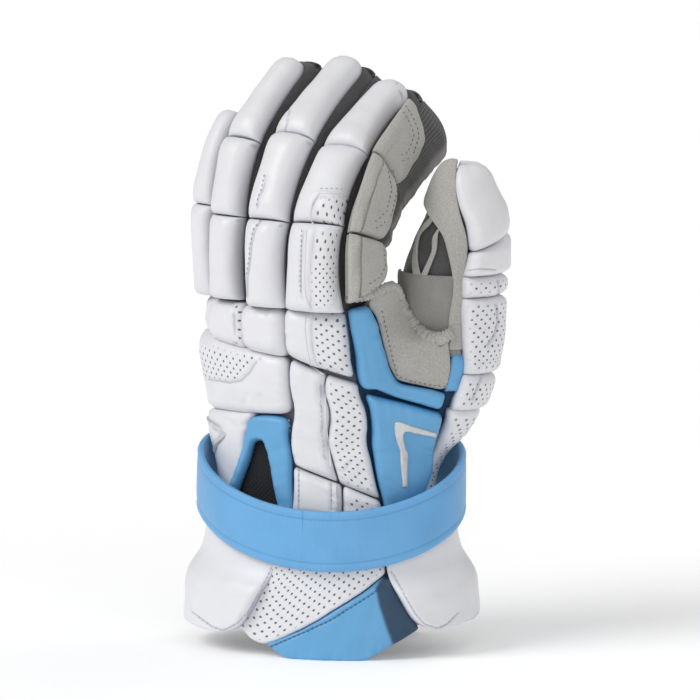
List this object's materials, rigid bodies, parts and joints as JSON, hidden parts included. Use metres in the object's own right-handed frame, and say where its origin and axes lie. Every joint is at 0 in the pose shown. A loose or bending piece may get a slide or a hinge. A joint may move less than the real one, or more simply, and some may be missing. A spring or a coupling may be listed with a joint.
{
  "type": "lacrosse glove",
  "caption": "Left-hand padded lacrosse glove with segmented finger rolls, suede side pads, wrist strap and flared cuff, standing on its hem.",
  "frame": {"origin": "on the floor under the middle of the glove's bounding box", "axes": "+Z from the cuff's hem to the fingertips, -Y out of the back of the hand, +X towards the thumb side"},
  "size_m": [0.1602, 0.1234, 0.3098],
  "materials": {
    "white_leather": "smooth white leather over foam",
    "blue_leather": "smooth light-blue leather and webbing",
    "blue_liner_fabric": "dark-blue liner cloth",
    "grey_suede": "grey suede",
    "dark_mesh_fabric": "dark-grey woven mesh",
    "black_vent_mesh": "black air mesh",
    "silver_trim": "silver-grey synthetic leather"
  },
  "bodies": {
    "root": {"index_knuckle_pad": "white_leather", "middle_knuckle_pad": "white_leather", "ring_knuckle_pad": "white_leather", "little_knuckle_pad": "white_leather", "ulnar_back_pad": "white_leather", "ulnar_wrist_pad": "white_leather", "centre_pad_upper": "white_leather", "centre_pad_lower": "white_leather", "perforated_pad_upper": "white_leather", "perforated_pad_lower": "white_leather", "thumb_web_pad": "blue_leather", "wrist_pad": "blue_leather", "suede_patch": "grey_suede", "web_strip": "blue_leather", "thumb_wrist_pad": "white_leather", "corner_trim": "silver_trim", "chevron_trim": "silver_trim", "vent_frame": "blue_leather", "vent_mesh": "black_vent_mesh", "thumb_cap": "white_leather", "thumb_pad_middle": "white_leather", "thumb_pad_perforated_1": "white_leather", "thumb_pad_perforated_2": "white_leather", "thumb_pad_perforated_3": "white_leather", "thumb_edge_strip": "grey_suede", "thumb_palm_patch": "grey_suede", "thumb_fork_strip": "grey_suede", "front_flap": "white_leather", "front_corner_panel": "blue_leather", "ulnar_tab": "white_leather", "radial_tab": "white_leather", "palm_flap": "white_leather", "index_pad_base": "white_leather", "index_pad_middle": "white_leather", "index_pad_tip": "white_leather", "middle_pad_base": "white_leather", "middle_pad_middle": "white_leather", "middle_pad_tip": "white_leather", "ring_pad_base": "white_leather", "ring_pad_middle": "white_leather", "ring_pad_tip": "white_leather", "little_pad_base": "white_leather", "little_pad_tip": "white_leather", "index_gusset_base": "grey_suede", "index_gusset_middle": "grey_suede", "index_gusset_tip": "grey_suede", "wrist_strap": "blue_leather", "web_binding": "grey_suede", "index_stall": "dark_mesh_fabric", "middle_stall": "dark_mesh_fabric", "ring_stall": "dark_mesh_fabric", "little_stall": "dark_mesh_fabric", "thumb_stall": "dark_mesh_fabric", "back_liner": "blue_liner_fabric", "palm_leather": "grey_suede"}
  },
  "joints": []
}
